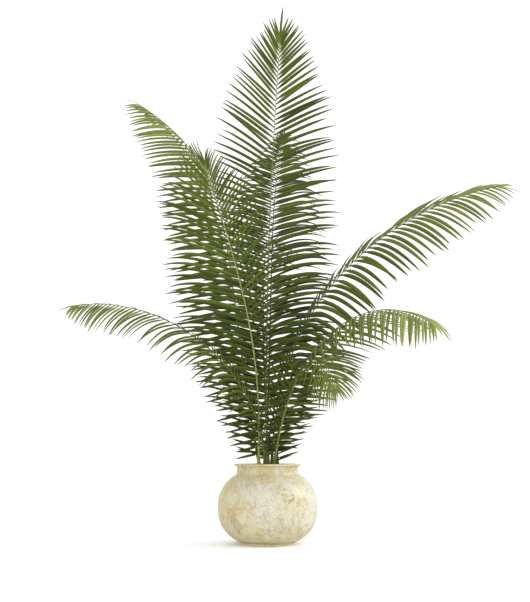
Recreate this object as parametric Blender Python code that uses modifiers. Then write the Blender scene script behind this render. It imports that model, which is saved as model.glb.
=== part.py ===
"""Areca palm in a round marbled pot.

Metres, +Z up. The pot's flat underside is centred on the origin, and the plant is
seen from -Y. A frond is a Bezier midrib that carries two rows of narrow leaflets,
all placed by one rule from the frond's own few measures.
"""

import math
import random

import bmesh
import bpy
from mathutils import Vector
from mathutils.bvhtree import BVHTree

UP = Vector((0, 0, 1))
GAP = 0.0003                    # clearance between pieces that touch
MERGE = 0.00002                 # points closer than this are one

# Pot
POT_SIDES = 30
FOOT_RADIUS = 0.0845
FOOT_HEIGHT = 0.007
FOOT_ROUNDING = 0.002
BELLY_RADIUS = 0.158
BELLY_HEIGHT = 0.111            # height of the widest part
BELLY_DROP = 0.1193             # half height of the belly's oval below that
BELLY_RISE = 0.1255             # and above it
BELLY_POWER = 2.3               # 2 is an ellipse, more is squarer
BELLY_RINGS = 8
SHOULDER_HEIGHT = 0.2115        # where the belly turns into the neck
NECK_RADIUS = 0.0985
NECK_HEIGHT = 0.223             # from here up the neck stands upright
NECK_HOLLOW = 0.012             # radius of the hollow curve below it
NECK_TURN = 55                  # and how far that turns, in degrees
NECK_RINGS = 2
RIM_RADIUS = 0.1065
RIM_HEIGHT = 0.248
RIM_BAND = 0.007
RIM_ROUNDING = 0.0025
RIM_UNDERCUT = 0.003            # how much lower the rim starts on the neck
WALL = 0.009
FLOOR = 0.016                   # height of the floor inside
MOUTH_RADIUS = 0.0905
MOUTH_RINGS = 4

# Soil and stem
SOIL_HEIGHT = 0.196             # at the wall
SOIL_CROWN = 0.006              # how much higher it is round the stem
STEM_FOOT_RADIUS = 0.050
STEM_TOP_RADIUS = 0.047
STEM_HEIGHT = 0.230
STEM_SIDES = 24

# Fronds. Each has its midrib's control points, foot (on top of the stem), stalk (it
# leaves the foot towards this), shoulder (it arches over towards this) and tip, and
#   facing   compass direction that the upper side leans to, degrees from +X to +Y
#   roll     turn of the blade about the midrib, at foot and tip
#   spread   leaflet angle from the midrib, at tip and foot
#   rise     how far leaflets stand up out of the blade's plane, at foot and tip
#   droop    how far they bend, at foot and tip
#   sag      how much more the right row bends than the left one, as a share of it
#   hang     whether they bend down (1) or towards the blade's underside (0)
#   curl     low bends the whole leaflet, high only its end
#   leaf     leaflet length in the left and the right row
#   end      length of the one leaflet that ends the frond
#   bunching over 1, leaflets stand closer together towards the tip
#   pairs    leaflet pairs
#   split    where an arching frond is parted in two, as a share of its length
FRONDS = {
    "frond_1": {
        "foot": (-0.003, -0.004),
        "stalk": (-0.010, -0.120, 0.900),
        "shoulder": (0.020, 0.195, 1.365),
        "tip": (0.045, 0.070, 1.720),
        "facing": 71,
        "roll": (-17, -33),
        "spread": (12, 87),
        "rise": (16, 2),
        "droop": (0.85, 0.00),
        "sag": 0.00,
        "hang": 0.9,
        "curl": 2.0,
        "leaf": (0.225, 0.240),
        "end": 0.110,
        "bunching": 1.30,
        "pairs": 31,
    },
    "frond_2": {
        "foot": (-0.010, 0.016),
        "stalk": (0.025, -0.010, 0.765),
        "shoulder": (-0.005, 0.280, 1.115),
        "tip": (0.065, 0.560, 1.530),
        "facing": 97,
        "roll": (7, 10),
        "spread": (7, 82),
        "rise": (29, -21),
        "droop": (1.00, 0.95),
        "sag": 0.15,
        "hang": 0.3,
        "curl": 1.9,
        "leaf": (0.245, 0.240),
        "end": 0.065,
        "bunching": 1.30,
        "pairs": 27,
        "split": 0.62,
    },
    "frond_3": {
        "foot": (-0.029, -0.026),
        "stalk": (-0.015, 0.000, 0.625),
        "shoulder": (-0.080, -0.195, 0.805),
        "tip": (-0.200, -0.155, 1.190),
        "facing": 258,
        "roll": (38, -54),
        "spread": (8, 77),
        "rise": (-3, -2),
        "droop": (0.40, 0.90),
        "sag": 0.30,
        "hang": 0.5,
        "curl": 2.2,
        "leaf": (0.180, 0.255),
        "end": 0.065,
        "bunching": 1.30,
        "pairs": 20,
    },
    "frond_4": {
        "foot": (-0.024, 0.024),
        "stalk": (-0.160, -0.050, 0.910),
        "shoulder": (-0.085, 0.285, 1.295),
        "tip": (-0.460, 0.240, 1.535),
        "facing": 169,
        "roll": (78, 17),
        "spread": (25, 95),
        "rise": (-38, -21),
        "droop": (0.10, 0.65),
        "sag": 0.05,
        "hang": 0.4,
        "curl": 1.3,
        "leaf": (0.205, 0.185),
        "end": 0.090,
        "bunching": 1.20,
        "pairs": 29,
    },
    "frond_5": {
        "foot": (-0.009, -0.039),
        "stalk": (-0.005, -0.170, 0.540),
        "shoulder": (-0.320, -0.125, 0.785),
        "tip": (-0.640, 0.015, 0.760),
        "facing": 211,
        "roll": (42, 47),
        "spread": (19, 63),
        "rise": (14, -35),
        "droop": (1.80, 0.50),
        "sag": -0.80,
        "hang": 0.4,
        "curl": 1.6,
        "leaf": (0.140, 0.125),
        "end": 0.075,
        "bunching": 1.30,
        "pairs": 19,
        "split": 0.50,
    },
    "frond_6": {
        "foot": (0.013, 0.010),
        "stalk": (0.020, -0.005, 0.940),
        "shoulder": (0.590, -0.170, 1.090),
        "tip": (0.730, -0.155, 1.115),
        "facing": -48,
        "roll": (-79, -53),
        "spread": (6, 63),
        "rise": (-5, 7),
        "droop": (1.60, 0.70),
        "sag": 0.45,
        "hang": 0.6,
        "curl": 0.7,
        "leaf": (0.185, 0.190),
        "end": 0.085,
        "bunching": 1.05,
        "pairs": 26,
        "split": 0.50,
    },
    "frond_7": {
        "foot": (0.033, -0.002),
        "stalk": (0.000, -0.060, 0.520),
        "shoulder": (0.265, -0.240, 0.825),
        "tip": (0.430, -0.600, 0.615),
        "facing": 299,
        "roll": (-12, -14),
        "spread": (9, 77),
        "rise": (-36, -7),
        "droop": (0.35, 1.55),
        "sag": 0.15,
        "hang": 0.3,
        "curl": 1.4,
        "leaf": (0.180, 0.170),
        "end": 0.060,
        "bunching": 1.20,
        "pairs": 19,
        "split": 0.50,
    },
    "frond_8": {
        "foot": (0.018, -0.036),
        "stalk": (0.045, -0.125, 0.460),
        "shoulder": (0.150, -0.140, 0.700),
        "tip": (0.180, -0.535, 0.450),
        "facing": 242,
        "roll": (-32, -12),
        "spread": (6, 59),
        "rise": (-3, 3),
        "droop": (0.20, 1.20),
        "sag": -0.05,
        "hang": 0.3,
        "curl": 1.3,
        "leaf": (0.150, 0.155),
        "end": 0.045,
        "bunching": 1.20,
        "pairs": 14,
        "split": 0.50,
    },
    "frond_9": {
        "foot": (0.004, 0.032),
        "stalk": (-0.025, 0.080, 0.680),
        "shoulder": (-0.020, 0.235, 1.100),
        "tip": (0.020, 0.630, 1.115),
        "facing": 73,
        "roll": (-4, 16),
        "spread": (15, 82),
        "rise": (11, -16),
        "droop": (0.45, 1.15),
        "sag": 0.45,
        "hang": 0.2,
        "curl": 1.1,
        "leaf": (0.130, 0.160),
        "end": 0.060,
        "bunching": 1.15,
        "pairs": 20,
        "split": 0.55,
    },
}

MIDRIB_STEPS = 96               # points that a midrib's length is measured on
MIDRIB_STRETCH = 0.055          # length of one straight stretch of its solid
MIDRIB_STUB = 0.004             # share of it, past a split, that runs true to the split
MIDRIB_FOOT_RADIUS = 0.0055
MIDRIB_TIP_RADIUS = 0.0018

BARE_SHARE = 0.03               # stretch above the foot with no leaflets
SPREAD_POWER = 0.36             # how late towards the tip the leaflets close up
FOOT_LEAF = 0.33                # length of the lowest leaflets, of the longest
TIP_LEAF = 0.36                 # and of the last ones
END_DROOP = 0.0                 # how far the leaflet that ends a frond bends down
FULL_SHARE = 0.40               # share of the frond where they reach full length
FADE_SHARE = 0.60               # and where they start to shorten again
LEAF_STRETCHES = 2              # straight stretches of a leaflet's solid
LEAF_STRETCHES_BENT = 3         # and of one that bends a lot
LEAF_BENT = 0.9                 # droop from which it does
LEAF_NECK = 0.55                # its width at the midrib, of its full width
LEAF_FULL = 0.40                # share of its length where it is widest
LEAF_WIDTH = 0.018
LEAF_THICKNESS = 0.004
LEAF_ROOT = 0.9                 # size of its sunk end, of the midrib's radius there
LEAF_STEPS = 9                  # points that a leaflet's bend is worked out on
LEAF_CLEARANCE = 0.0012
LEAF_TURNS = (0, 8, -8, 16, -16, 24, -24)   # degrees tried to keep a leaflet clear
LEAF_CUTS = (1.0, 0.75, 0.5)                # and shares of its length

# Colours
CREAM = (0.80, 0.68, 0.42)
EARTH = (0.06, 0.04, 0.025)
SHEATH_GREEN = (0.30, 0.32, 0.12)
LEAF_GREEN = (0.09, 0.17, 0.03)


def clear_objects():
    for item in list(bpy.data.objects):
        bpy.data.objects.remove(item, do_unlink=True)


def new_collection(name):
    collection = bpy.data.collections.new(name)
    bpy.context.scene.collection.children.link(collection)
    return collection


def new_material(name, color, roughness):
    material = bpy.data.materials.new(name)
    material.use_nodes = True
    shader = material.node_tree.nodes["Principled BSDF"]
    shader.inputs["Base Color"].default_value = (*color, 1)
    shader.inputs["Roughness"].default_value = roughness
    shader.inputs["Metallic"].default_value = 0
    return material


def mix(start, end, share):
    return start + (end - start) * share


# --- Pot, soil and stem ---------------------------------------------------------


def belly_radius(height, inset=0.0):
    """Radius at a height of the pot's oval belly, or of an oval inset from it."""
    half = (BELLY_DROP if height < BELLY_HEIGHT else BELLY_RISE) - inset
    share = min(1.0, abs(height - BELLY_HEIGHT) / half)
    return (BELLY_RADIUS - inset) * (1 - share ** BELLY_POWER) ** (1 / BELLY_POWER)


def belly_wall(low, high, rings, inset=0.0):
    """Profile points up the belly's wall, from one height to another."""
    heights = [mix(low, high, ring / rings) for ring in range(rings + 1)]
    return [(belly_radius(height, inset), height) for height in heights]


def neck_curve():
    """Profile points down the neck's hollow curve to the belly."""
    points = []
    for ring in range(NECK_RINGS + 1):
        angle = math.radians(180 + NECK_TURN * ring / NECK_RINGS)
        radius = NECK_RADIUS + NECK_HOLLOW * (1 + math.cos(angle))
        points.append((radius, NECK_HEIGHT + NECK_HOLLOW * math.sin(angle)))
    return points


def pot_profile():
    inside = [(0, FLOOR)] + belly_wall(FLOOR, SOIL_HEIGHT, MOUTH_RINGS, WALL)
    band = RIM_HEIGHT - RIM_BAND
    mouth = [
        (MOUTH_RADIUS, NECK_HEIGHT - WALL),
        (MOUTH_RADIUS, RIM_HEIGHT - RIM_ROUNDING),
        (MOUTH_RADIUS + RIM_ROUNDING, RIM_HEIGHT),
    ]
    rim = [
        (RIM_RADIUS - RIM_ROUNDING, RIM_HEIGHT),
        (RIM_RADIUS, RIM_HEIGHT - RIM_ROUNDING),
        (RIM_RADIUS, band + RIM_ROUNDING),
        (RIM_RADIUS - RIM_ROUNDING, band),
        (NECK_RADIUS, band - RIM_UNDERCUT),
    ]
    outside = neck_curve() + belly_wall(FOOT_HEIGHT, SHOULDER_HEIGHT, BELLY_RINGS)[::-1]
    foot = [
        (FOOT_RADIUS, FOOT_HEIGHT - FOOT_ROUNDING / 2),
        (FOOT_RADIUS, FOOT_ROUNDING),
        (FOOT_RADIUS - FOOT_ROUNDING, 0),
        (0, 0),
    ]
    return inside + mouth + rim + outside + foot


def soil_profile():
    top = SOIL_HEIGHT + SOIL_CROWN
    wall = belly_wall(FLOOR + GAP, SOIL_HEIGHT - GAP, MOUTH_RINGS, WALL + 2 * GAP)
    return [(0, top), (STEM_FOOT_RADIUS + SOIL_CROWN, top)] + wall[::-1] + [(0, FLOOR + GAP)]


def stem_profile():
    return [
        (0, STEM_HEIGHT),
        (STEM_TOP_RADIUS, STEM_HEIGHT),
        (STEM_FOOT_RADIUS, SOIL_HEIGHT + SOIL_CROWN + GAP),
        (0, SOIL_HEIGHT + SOIL_CROWN + GAP),
    ]


def turned(name, profile, sides, collection, material):
    """A solid turned about Z from a profile that runs down its outer side."""
    mesh = bpy.data.meshes.new(name)
    edges = [(point, point + 1) for point in range(len(profile) - 1)]
    mesh.from_pydata([(radius, 0, height) for radius, height in profile], edges, [])
    mesh.materials.append(material)
    item = bpy.data.objects.new(name, mesh)
    collection.objects.link(item)
    screw = item.modifiers.new("turn", "SCREW")
    screw.steps = sides
    screw.render_steps = sides
    screw.use_smooth_shade = True
    screw.use_merge_vertices = True
    screw.merge_threshold = MERGE
    return item


# --- The frond rule -------------------------------------------------------------


class Midrib:
    """A frond's midrib: its places and directions by share of its length."""

    def __init__(self, frond):
        control = [Vector(frond[part]) for part in ("stalk", "shoulder", "tip")]
        foot = Vector((*frond["foot"], STEM_HEIGHT))
        lean = (control[0] - foot).angle(UP)
        foot.z += GAP + MIDRIB_FOOT_RADIUS * math.sin(lean)
        control.insert(0, foot)
        self.points = [self.bezier(control, step / MIDRIB_STEPS) for step in range(MIDRIB_STEPS + 1)]
        self.reach = [0.0]
        for here, there in zip(self.points, self.points[1:]):
            self.reach.append(self.reach[-1] + (there - here).length)
        self.length = self.reach[-1]

    @staticmethod
    def bezier(control, share):
        rest = 1 - share
        weights = (rest ** 3, 3 * rest ** 2 * share, 3 * rest * share ** 2, share ** 3)
        return sum((point * weight for point, weight in zip(control, weights)), Vector())

    def place(self, share):
        distance = min(max(share, 0), 1) * self.length
        step = 1
        while step < MIDRIB_STEPS and self.reach[step] < distance:
            step += 1
        start, end = self.reach[step - 1], self.reach[step]
        return self.points[step - 1].lerp(self.points[step], (distance - start) / (end - start))

    def direction(self, share):
        ahead = self.place(share + 0.004)
        behind = self.place(share - 0.004)
        return (ahead - behind).normalized()

    def radius(self, share):
        return mix(MIDRIB_FOOT_RADIUS, MIDRIB_TIP_RADIUS, share)


def growing(share):
    """Share of their full length and full bend that leaflets near the frond's foot have."""
    return mix(FOOT_LEAF, 1, math.sin(math.pi / 2 * min(1, share / FULL_SHARE)))


def leaf_length(frond, share, side):
    """Leaflets are short at the frond's foot, longest in its middle, shorter at its tip."""
    if side == 0:
        return frond["end"]
    longest = frond["leaf"][0 if side < 0 else 1]
    fading = max(0, (share - FADE_SHARE) / (1 - FADE_SHARE)) ** 3
    return longest * growing(share) * mix(1, TIP_LEAF, fading)


def leaf_path(frond, midrib, share, side, chance, turn=0, cut=1):
    """One leaflet's middle line, from inside the midrib to its tip, and its width's direction.

    Side is -1 or 1 for the left or the right row, and 0 for the leaflet that ends the frond.
    """
    along = midrib.direction(share)
    facing = math.radians(frond["facing"])
    across = Vector((math.cos(facing), math.sin(facing), 0)).cross(UP)
    across = (across - along * across.dot(along)).normalized()
    inner = across.cross(along)
    roll = math.radians(mix(*frond["roll"], share))
    wing = across * math.cos(roll) + inner * math.sin(roll)
    face = inner * math.cos(roll) - across * math.sin(roll)

    start = along
    if side:
        tip_spread, foot_spread = frond["spread"]
        spread = mix(tip_spread, foot_spread, (1 - share) ** SPREAD_POWER)
        spread = math.radians(spread + 1.5 * chance[0])
        rise = math.radians(mix(*frond["rise"], share) + 3 * chance[1] + turn)
        outward = wing * (side * math.cos(rise)) + face * math.sin(rise)
        start = along * math.cos(spread) + outward * math.sin(spread)
    droop = mix(*frond["droop"], share) * growing(share) ** 2
    droop *= (1 + side * frond["sag"]) * (1 + 0.12 * chance[2])
    below = (face * (frond["hang"] - 1) - UP * frond["hang"]).normalized()
    if side == 0:
        droop = END_DROOP
        below = -UP
    stride = cut * leaf_length(frond, share, side) * (1 + 0.04 * chance[3]) / LEAF_STEPS

    points = [midrib.place(share)]
    for step in range(LEAF_STEPS):
        bend = droop * ((step + 0.5) / LEAF_STEPS) ** frond["curl"]
        points.append(points[-1] + (start + below * bend).normalized() * stride)
    return points, along if side else wing


def along_path(points, share):
    """Place on a list of evenly spaced points."""
    spot = min(max(share, 0), 1) * (len(points) - 1)
    step = min(int(spot), len(points) - 2)
    return points[step].lerp(points[step + 1], spot - step)


def leaf_places(frond, side):
    """Shares of the midrib where one row's leaflets stand, closer together towards the tip.

    The two rows alternate. Side 0 is the one leaflet that ends the frond.
    """
    if side == 0:
        return [0.995]
    pairs = frond["pairs"]
    rest = [1 - (pair + 0.5 + 0.25 * side) / pairs for pair in range(pairs)]
    return [mix(BARE_SHARE, 1, 1 - share ** frond["bunching"]) for share in rest]


# --- Frond solids ---------------------------------------------------------------


def leaf_width(share):
    """Half width of a leaflet's blade by share of its length."""
    widening = mix(LEAF_NECK, 1, min(1, share / LEAF_FULL))
    narrowing = 1 - (max(0, share - LEAF_FULL) / (1 - LEAF_FULL)) ** 2
    return LEAF_WIDTH / 2 * widening * narrowing


def leaf_model(points, along, stretches, root_radius, extra=0.0):
    """A three-sided cone bent along a leaflet's path, as a bmesh; extra makes it thicker."""
    model = bmesh.new()
    bmesh.ops.create_cone(model, cap_ends=True, segments=3, radius1=1, radius2=0, depth=1)
    bmesh.ops.remove_doubles(model, verts=model.verts, dist=MERGE)
    for ring in range(1, stretches):
        parts = model.verts[:] + model.edges[:] + model.faces[:]
        bmesh.ops.bisect_plane(model, geom=parts, plane_co=(0, 0, ring / stretches - 0.5), plane_no=UP)
    lift = 1 if (points[-1] - points[0]).cross(along).z > 0 else -1
    for vert in model.verts:
        share = round((vert.co.z + 0.5) * stretches) / stretches
        centre = along_path(points, share)
        if share == 1:
            vert.co = centre
            continue
        line = (along_path(points, share + 0.1) - along_path(points, share - 0.1)).normalized()
        width = (along - line * along.dot(line)).normalized()
        normal = line.cross(width) * lift
        half_width = leaf_width(share)
        thickness = LEAF_THICKNESS
        if share == 0:
            half_width = min(half_width, root_radius)
            thickness = min(thickness, root_radius)
        sideways = vert.co.x / (1 - share) / math.cos(math.pi / 6)
        upward = vert.co.y / (1 - share) / 1.5
        centre += width * (sideways * (half_width + extra))
        vert.co = centre + normal * (upward * (thickness + 2 * extra))
    bmesh.ops.recalc_face_normals(model, faces=model.faces)
    return model


def midrib_model(midrib, start, end):
    """The midrib's solid between two shares of its length, as a curve made into a mesh."""
    stretches = max(3, round((end - start) * midrib.length / MIDRIB_STRETCH))
    shares = [mix(start, end, ring / stretches) for ring in range(stretches + 1)]
    if start > 0:
        shares.insert(1, start + MIDRIB_STUB)
    if end < 1:
        shares.insert(-1, end - MIDRIB_STUB)
    curve = bpy.data.curves.new("midrib", "CURVE")
    curve.dimensions = "3D"
    curve.bevel_depth = 1.0
    curve.bevel_resolution = 0
    curve.use_fill_caps = True
    spline = curve.splines.new("POLY")
    spline.points.add(len(shares) - 1)
    for share, point in zip(shares, spline.points):
        point.co = (*midrib.place(share), 1)
        point.radius = midrib.radius(share)
    item = bpy.data.objects.new("midrib", curve)
    bpy.context.scene.collection.objects.link(item)
    depsgraph = bpy.context.evaluated_depsgraph_get()
    mesh = bpy.data.meshes.new_from_object(item.evaluated_get(depsgraph))
    bpy.data.objects.remove(item, do_unlink=True)
    bpy.data.curves.remove(curve)
    model = bmesh.new()
    model.from_mesh(mesh)
    bpy.data.meshes.remove(mesh)
    bmesh.ops.remove_doubles(model, verts=model.verts, dist=MERGE)
    bmesh.ops.recalc_face_normals(model, faces=model.faces)
    return model


def mesh_object(name, model, collection, material):
    mesh = bpy.data.meshes.new(name)
    model.to_mesh(mesh)
    mesh.materials.append(material)
    item = bpy.data.objects.new(name, mesh)
    collection.objects.link(item)
    return item


class Space:
    """The room that finished pieces take up, so that a new leaflet can keep clear of them."""

    def __init__(self):
        self.pieces = []

    @staticmethod
    def shape(model):
        points = [vert.co.copy() for vert in model.verts]
        low = [min(point[axis] for point in points) for axis in range(3)]
        high = [max(point[axis] for point in points) for axis in range(3)]
        faces = [[vert.index for vert in face.verts] for face in model.faces]
        return low, high, BVHTree.FromPolygons(points, faces)

    def add(self, owner, model):
        model.verts.index_update()
        self.pieces.append((owner, *self.shape(model)))

    def is_free(self, owner, model):
        """True where the piece touches nothing that another owner has put down."""
        model.verts.index_update()
        low, high, tree = self.shape(model)
        for other, other_low, other_high, other_tree in self.pieces:
            if other == owner:
                continue
            apart = any(low[axis] > other_high[axis] or high[axis] < other_low[axis] for axis in range(3))
            if not apart and tree.overlap(other_tree):
                return False
        return True


def grow_leaf(frond, midrib, owner, share, side, chance, space):
    """The first form of a leaflet that keeps clear of the other nodes, or None."""
    bent = mix(*frond["droop"], share) > LEAF_BENT
    stretches = LEAF_STRETCHES_BENT if bent else LEAF_STRETCHES
    root_radius = midrib.radius(share) * LEAF_ROOT
    for cut in LEAF_CUTS:
        for turn in LEAF_TURNS:
            points, along = leaf_path(frond, midrib, share, side, chance, turn, cut)
            guard = leaf_model(points, along, stretches, root_radius, LEAF_CLEARANCE)
            free = space.is_free(owner, guard)
            guard.free()
            if free:
                return leaf_model(points, along, stretches, root_radius)
    return None


def fuse(item, pieces):
    """Joins a collection's objects to one by a Boolean union, and removes them."""
    union = item.modifiers.new("union", "BOOLEAN")
    union.operation = "UNION"
    union.operand_type = "COLLECTION"
    union.collection = pieces
    union.solver = "EXACT"
    depsgraph = bpy.context.evaluated_depsgraph_get()
    mesh = bpy.data.meshes.new_from_object(item.evaluated_get(depsgraph))
    item.modifiers.clear()
    item.data = mesh
    for piece in list(pieces.objects):
        bpy.data.objects.remove(piece, do_unlink=True)
    bpy.data.collections.remove(pieces)


def keep_outer_shell(item):
    """Drops loose scraps and the inner walls of sealed hollows, which fills them."""
    model = bmesh.new()
    model.from_mesh(item.data)
    unseen = set(model.verts)
    shells = []
    while unseen:
        shell = set()
        queue = [unseen.pop()]
        while queue:
            vert = queue.pop()
            shell.add(vert)
            for edge in vert.link_edges:
                other = edge.other_vert(vert)
                if other in unseen:
                    unseen.remove(other)
                    queue.append(other)
        shells.append(shell)
    shells.sort(key=len)
    loose = [vert for shell in shells[:-1] for vert in shell]
    bmesh.ops.delete(model, geom=loose, context="VERTS")
    on_edges = [vert for vert in model.verts if len(vert.link_edges) == 2]
    bmesh.ops.dissolve_verts(model, verts=on_edges)
    bmesh.ops.triangulate(model, faces=model.faces)
    model.to_mesh(item.data)
    model.free()


def frond_sections(name, frond):
    """Node names of a frond with the share of the midrib that each holds."""
    if "split" not in frond:
        return [(name, 0, 1)]
    half_gap = GAP / 2 / Midrib(frond).length
    return [
        (name + "_stalk", 0, frond["split"] - half_gap),
        (name + "_arch", frond["split"] + half_gap, 1),
    ]


def section_at(sections, share):
    """The node that a leaflet at a share of the midrib belongs to."""
    return min(sections, key=lambda section: max(section[1] - share, share - section[2]))[0]


def build_fronds(collection, space):
    midribs = {}
    nodes = {}
    for name, frond in FRONDS.items():
        midribs[name] = Midrib(frond)
        for node, start, end in frond_sections(name, frond):
            model = midrib_model(midribs[name], start, end)
            space.add(node, model)
            material = new_material(node, LEAF_GREEN, 0.5)
            nodes[node] = mesh_object(node, model, collection, material)
            model.free()
    for name, frond in FRONDS.items():
        chance = random.Random(name)
        sections = frond_sections(name, frond)
        leaves = {node: new_collection(node + "_leaves") for node, start, end in sections}
        for side in (-1, 1, 0):
            for share in leaf_places(frond, side):
                node = section_at(sections, share)
                luck = [chance.gauss(0, 1) for draw in range(4)]
                model = grow_leaf(frond, midribs[name], node, share, side, luck, space)
                if model is None:
                    continue
                space.add(node, model)
                mesh_object("leaf", model, leaves[node], nodes[node].active_material)
                model.free()
        for node, pieces in leaves.items():
            fuse(nodes[node], pieces)
            keep_outer_shell(nodes[node])


def evaluated_model(item):
    depsgraph = bpy.context.evaluated_depsgraph_get()
    model = bmesh.new()
    model.from_object(item, depsgraph)
    return model


def main():
    clear_objects()
    collection = new_collection("areca_palm")
    marble = new_material("pot", CREAM, 0.35)
    earth = new_material("soil", EARTH, 0.95)
    sheath = new_material("stem", SHEATH_GREEN, 0.7)
    pot = turned("pot", pot_profile(), POT_SIDES, collection, marble)
    soil = turned("soil", soil_profile(), POT_SIDES, collection, earth)
    stem = turned("stem", stem_profile(), STEM_SIDES, collection, sheath)
    space = Space()
    for item in (pot, soil, stem):
        model = evaluated_model(item)
        space.add(item.name, model)
        model.free()
    build_fronds(collection, space)


main()
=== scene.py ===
"""Looks of the areca palm in its round marble pot.

Metres, +Z up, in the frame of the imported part. Every frond is grown again by the part's
own rule, with its full number of leaflets, in place of the frond's solids. The pot, the
soil and the cluster of leaf sheaths inside the pot's mouth are made again with their
fine shapes.
"""

import math
import random

import bpy
from mathutils import Matrix, Vector

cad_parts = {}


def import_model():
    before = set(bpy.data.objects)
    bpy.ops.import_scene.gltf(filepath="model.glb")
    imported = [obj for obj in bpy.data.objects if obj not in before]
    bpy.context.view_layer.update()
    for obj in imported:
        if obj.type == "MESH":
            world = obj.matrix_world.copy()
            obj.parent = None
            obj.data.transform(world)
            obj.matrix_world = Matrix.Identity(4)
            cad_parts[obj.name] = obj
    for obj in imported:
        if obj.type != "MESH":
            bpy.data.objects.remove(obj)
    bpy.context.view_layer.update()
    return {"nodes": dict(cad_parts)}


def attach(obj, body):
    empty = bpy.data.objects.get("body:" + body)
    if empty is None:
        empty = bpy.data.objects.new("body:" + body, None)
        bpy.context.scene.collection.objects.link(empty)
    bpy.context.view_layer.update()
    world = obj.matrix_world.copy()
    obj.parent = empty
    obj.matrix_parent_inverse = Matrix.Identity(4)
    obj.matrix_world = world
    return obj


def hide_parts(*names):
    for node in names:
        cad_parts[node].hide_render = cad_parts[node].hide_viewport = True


UP = Vector((0, 0, 1))

# Camera: where it stands, how far it looks up, and its lens
EYE = (-0.0085, -3.0, 0.29)
EYE_PITCH = 9.15
LENS = 55.46

# Lights: name, place, size, power in watts and colour
LAMPS = (
    ("key", (3.4, 0.2, 2.0), 1.8, 82, (1.0, 0.98, 0.94)),
    ("fill", (-2.8, -2.2, 2.0), 2.2, 6, (0.95, 0.98, 1.0)),
    ("low", (0.2, -2.6, 0.12), 0.8, 24, (1.0, 0.98, 0.95)),
)
LAMPS_AIM = Vector((0, 0, 0.7))
WORLD_LIGHT = 1.20              # even white light from all round
FLOOR_HALF = 12.0               # half the floor's side

# Pot
POT_SIDES = 160
FOOT_RADIUS = 0.0845
FOOT_HEIGHT = 0.007
FOOT_ROUNDING = 0.002
BELLY_RADIUS = 0.158
BELLY_HEIGHT = 0.111            # height of the widest part
BELLY_DROP = 0.1193             # half height of the belly's oval below that
BELLY_RISE = 0.1255             # and above it
BELLY_POWER = 2.3               # 2 is an ellipse, more is squarer
BELLY_RINGS = 56
SHOULDER_HEIGHT = 0.2115        # where the belly turns into the neck
NECK_RADIUS = 0.0985
NECK_HEIGHT = 0.223             # from here up the neck stands upright
NECK_HOLLOW = 0.012             # radius of the hollow curve below it
NECK_TURN = 55                  # and how far that turns, in degrees
RIM_RADIUS = 0.1065
RIM_HEIGHT = 0.248
RIM_BAND = 0.007
RIM_ROUNDING = 0.0025
RIM_UNDERCUT = 0.003            # how much lower the rim starts on the neck
WALL = 0.009
FLOOR = 0.016                   # height of the floor inside
MOUTH_RADIUS = 0.0905
MOUTH_RINGS = 12
ARC_STEPS = 5                   # straight steps in each small rounding
NECK_STEPS = 10                 # and in the hollow curve below the neck
POT_MERGE = 0.00001             # points closer than this are one

# Soil, sheaths and husks
SOIL_HEIGHT = 0.196             # at the wall
SOIL_CROWN = 0.006              # how much higher it is round the stem
SOIL_CROWN_EDGE = 0.05          # radius where it starts to fall, over as much again
CRUMBS = 700
CRUMB_AREA = 0.094              # radius that crumbs lie within
CRUMB_SIZE = (0.0015, 0.0045)
CRUMB_CORNERS = 5
CRUMB_TURN = 0.5                # how far chance turns a corner, of the angle between two
CRUMB_REACH = (0.7, 1.2)        # how far out a corner lies, of the crumb's size
CRUMB_RISE = (0.5, 1.0)         # height of its top
CRUMB_DEPTH = 0.5               # and depth of its underside
STEM_HEIGHT = 0.230
SHEATH_FOOT = 0.008             # radius of a sheath in the soil
SHEATH_TOP = 0.00576            # and at the midrib's foot
SHEATH_GATHER = 0.85            # its start's distance from the axis, of the midrib's foot's
SHEATH_FIT = 1.04               # its radius where it ends, of the midrib's
SHEATH_REACH = 0.07             # share of the frond that the sheath runs up
SHEATH_LOW_RINGS = 5            # rings below the midrib's foot
SHEATH_RINGS = 8                # and above
SHEATH_SIDES = 14
HUSKS = 7                       # dry sheaths of fronds that were cut off
HUSK_SHIFT = 0.3                # how unevenly they stand, of their spacing
HUSK_FOOT = 0.040               # their feet's distance from the axis
HUSK_TOP = (0.041, 0.045)       # and their tops'
HUSK_SHORTEST = 0.014           # how far below the stem's top the shortest ends
HUSK_RADIUS = (0.0085, 0.0035)  # at foot and top
HUSK_TAPER = 0.7                # under 1, it narrows soon above the foot
HUSK_RINGS = 5
HUSK_SIDES = 9

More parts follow.
